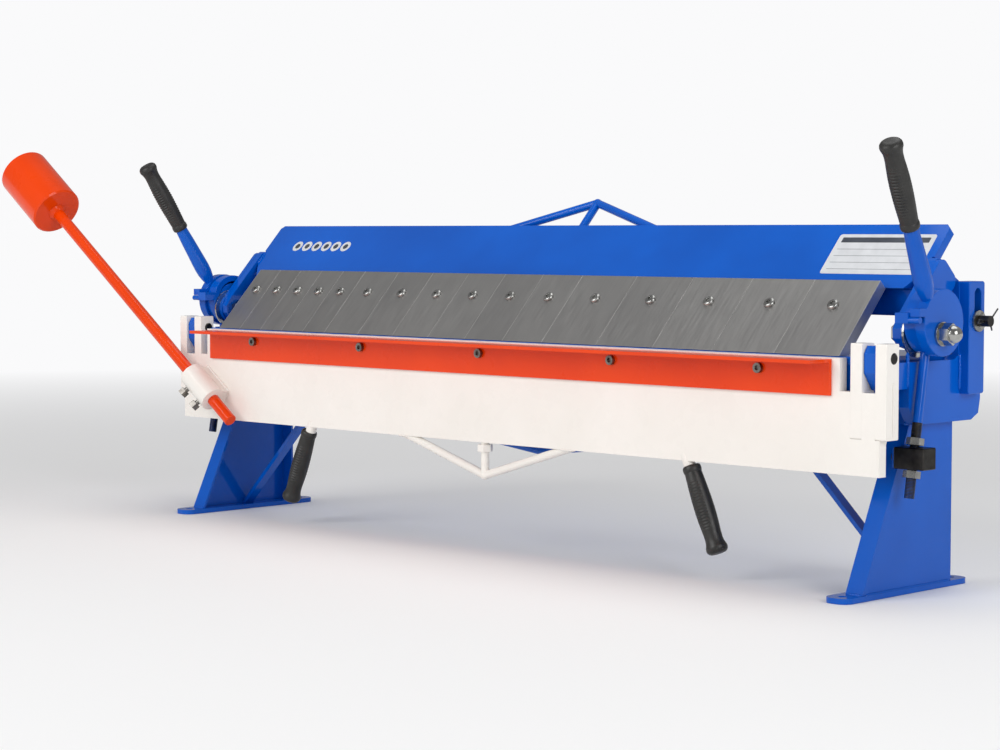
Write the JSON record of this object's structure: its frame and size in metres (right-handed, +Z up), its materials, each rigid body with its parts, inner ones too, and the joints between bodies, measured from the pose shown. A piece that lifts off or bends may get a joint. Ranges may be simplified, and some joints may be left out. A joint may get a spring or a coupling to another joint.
{
  "type": "sheet metal brake",
  "caption": "Bench folding brake: hinged bending apron, finger-fronted clamp beam lifted by eccentric end levers, and a counterweight.",
  "frame": {"origin": "centre of the four foot bolt holes, at bench level", "axes": "+X along the bend to the operator's right, +Y to the back of the machine, +Z up"},
  "size_m": [1.8563, 0.3163, 0.5866],
  "materials": {
    "blue_paint": "gloss powder coat",
    "white_paint": "gloss powder coat",
    "orange_paint": "gloss powder coat",
    "ground_steel": "satin ground",
    "zinc_steel": "bright zinc plate",
    "black_steel": "black oxide, oiled",
    "black_rubber": "matte ribbed"
  },
  "bodies": {
    "frame": {"anchor_pins": "black_steel", "anchor_plates": "blue_paint", "bed_front_web": "blue_paint", "bed_rib": "blue_paint", "bed_side_plate_left": "blue_paint", "bed_side_plate_right": "blue_paint", "bed_table": "blue_paint", "bed_truss_nut": "zinc_steel", "bed_truss_rod": "blue_paint", "braces": "blue_paint", "foot_plates": "blue_paint", "guide_brackets": "blue_paint", "hinge_lugs": "blue_paint", "hinge_pins": "black_steel", "stand_left": "blue_paint", "stand_right": "blue_paint"},
    "apron": {"apron_plate": "white_paint", "hinge_cheeks_left": "white_paint", "hinge_cheeks_right": "white_paint", "apron_angle": "orange_paint", "angle_screws": "zinc_steel", "apron_truss_rod": "white_paint", "apron_truss_nut": "zinc_steel", "apron_handle_left": "white_paint", "apron_handle_right": "white_paint", "apron_grip_left": "black_rubber", "apron_grip_right": "black_rubber", "counterweight_sleeve": "white_paint", "sleeve_set_bolts": "black_steel", "counterweight_rod": "orange_paint", "counterweight": "orange_paint"},
    "clamp_beam": {"beam_plate": "blue_paint", "beam_tube": "blue_paint", "beam_end_plate_left": "blue_paint", "beam_end_plate_right": "blue_paint", "pivot_straps": "blue_paint", "beam_truss_rod": "blue_paint", "narrow_fingers": "ground_steel", "medium_fingers": "ground_steel", "wide_fingers": "ground_steel", "finger_screws": "zinc_steel", "guide_pins": "black_steel", "guide_washers": "zinc_steel", "cotter_pins": "zinc_steel", "pivot_bolts": "zinc_steel", "pivot_washers": "zinc_steel", "dome_nuts": "zinc_steel"},
    "lever_right": {"lever_hub_right": "blue_paint", "lever_rod_right": "blue_paint", "lever_grip_right": "black_rubber"},
    "lever_left": {"lever_hub_left": "blue_paint", "lever_rod_left": "blue_paint", "lever_grip_left": "black_rubber"},
    "link_right": {"clamp_link_right": "blue_paint", "trunnion_right": "black_steel", "link_nuts_right": "zinc_steel"},
    "link_left": {"clamp_link_left": "blue_paint", "trunnion_left": "black_steel", "link_nuts_left": "zinc_steel"}
  },
  "joints": [
    {"name": "apron_fold", "type": "hinge", "parent": "frame", "child": "apron", "pos_m": [0, -0.079, 0.297], "axis": [-1, 0, 0], "range_deg": [0, 95]},
    {"name": "beam_lift", "type": "slide", "parent": "frame", "child": "clamp_beam", "axis": [0, 0, 1], "range_m": [0, 0.0189]},
    {"name": "lever_right_turn", "type": "hinge", "parent": "clamp_beam", "child": "lever_right", "pos_m": [0.7, -0.00684, 0.32541], "axis": [-1, 0, 0], "range_deg": [0, 90]},
    {"name": "link_right_swing", "type": "hinge", "parent": "frame", "child": "link_right", "pos_m": [0.686, -0.027, 0.173], "axis": [-1, 0, 0], "range_deg": [0, 1.84]},
    {"name": "lever_left_turn", "type": "hinge", "parent": "clamp_beam", "child": "lever_left", "pos_m": [-0.7, -0.00684, 0.32541], "axis": [-1, 0, 0], "range_deg": [0, 90]},
    {"name": "link_left_swing", "type": "hinge", "parent": "frame", "child": "link_left", "pos_m": [-0.686, -0.027, 0.173], "axis": [-1, 0, 0], "range_deg": [0, 1.84]}
  ],
  "couplings": [
    {"joint": "lever_right_turn", "follows": "beam_lift", "rad_per_m": 83.103},
    {"joint": "link_right_swing", "follows": "beam_lift", "rad_per_m": 1.7036},
    {"joint": "lever_left_turn", "follows": "beam_lift", "rad_per_m": 83.103},
    {"joint": "link_left_swing", "follows": "beam_lift", "rad_per_m": 1.7036}
  ]
}
